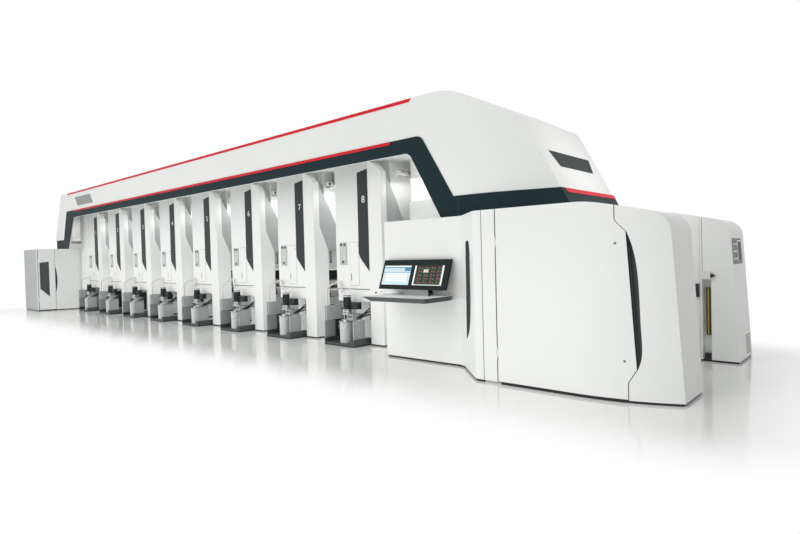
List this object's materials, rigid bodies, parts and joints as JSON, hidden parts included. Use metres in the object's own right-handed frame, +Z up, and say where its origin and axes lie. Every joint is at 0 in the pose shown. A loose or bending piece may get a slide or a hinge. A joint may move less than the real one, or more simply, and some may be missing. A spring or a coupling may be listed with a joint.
{
  "type": "rotogravure printing press",
  "caption": "Long in-line web printing press: a row of white printing units with ink carts under one header, with a console, hooded rewinder and unwinder housings.",
  "frame": {"origin": "on the floor, in the middle of the machine's length and depth", "axes": "+X along the machine from the unwinder to the rewinder, +Y from the operator side to the drive side, +Z up"},
  "size_m": [23.78, 4.126, 4.4],
  "materials": {
    "white_panel": "smooth semi-gloss white paint",
    "cart_grey": "grey sheet steel and bare metal",
    "stripe_grey": "satin dark grey paint",
    "plate_grey": "satin",
    "fin_grey": "satin mid-grey paint",
    "guard_grey": "satin grey paint",
    "pan_steel": "bare stainless sheet",
    "pump_grey": "painted castings and bare pipes",
    "hose_black": "matte black sleeves on formed pipes",
    "printed_film": "printed film web",
    "roller_steel": "ground and polished",
    "bracket_white": "satin white paint",
    "band_blue": "satin dark blue-grey paint",
    "stripe_red": "gloss red paint",
    "dark_pane": "dark tinted pane",
    "desk_grey": "satin dark grey paint, white top",
    "display_black": "gloss black frame with two screens",
    "fitting_dark": "painted steel"
  },
  "bodies": {
    "frame": {"unit_1_cabinet": "white_panel", "unit_2_cabinet": "white_panel", "unit_3_cabinet": "white_panel", "unit_4_cabinet": "white_panel", "unit_5_cabinet": "white_panel", "unit_6_cabinet": "white_panel", "unit_7_cabinet": "white_panel", "unit_8_cabinet": "white_panel", "unit_columns": "white_panel", "column_fins": "fin_grey", "guard_doors": "guard_grey", "ink_pans": "pan_steel", "doctor_blades": "pan_steel", "cart_frames": "cart_grey", "cart_handles": "bracket_white", "ink_buckets": "pan_steel", "ink_pumps": "pump_grey", "ink_pipes": "hose_black", "printed_web": "printed_film", "label_plates": "stripe_grey", "front_covers": "white_panel", "number_stripes": "stripe_grey", "button_plates": "plate_grey", "print_rollers": "roller_steel", "web_rollers": "roller_steel", "roller_brackets": "bracket_white", "header_shell": "white_panel", "left_hood": "white_panel", "right_hood": "white_panel", "header_band": "band_blue", "hood_band": "band_blue", "header_stripes": "stripe_red", "unwind_housing": "white_panel", "infeed_column": "white_panel", "outfeed_cabinet": "white_panel", "console_housing": "white_panel", "corner_panel": "white_panel", "console_desk": "desk_grey", "console_display": "display_black", "winder_housing": "white_panel", "rear_housing": "white_panel", "bay_fittings": "fitting_dark"},
    "unwind_door": {"unwind_door": "white_panel", "unwind_window": "dark_pane"},
    "winder_door": {"winder_door": "white_panel"}
  },
  "joints": [
    {"name": "unwind_door_hinge", "type": "hinge", "parent": "frame", "child": "unwind_door", "pos_m": [-10.3228, -1.9482, 1.1], "axis": [0, 0, -1], "range_deg": [0, 100]},
    {"name": "winder_door_hinge", "type": "hinge", "parent": "frame", "child": "winder_door", "pos_m": [9.678, -1.943, 1.1], "axis": [0, 0, -1], "range_deg": [0, 100]}
  ]
}
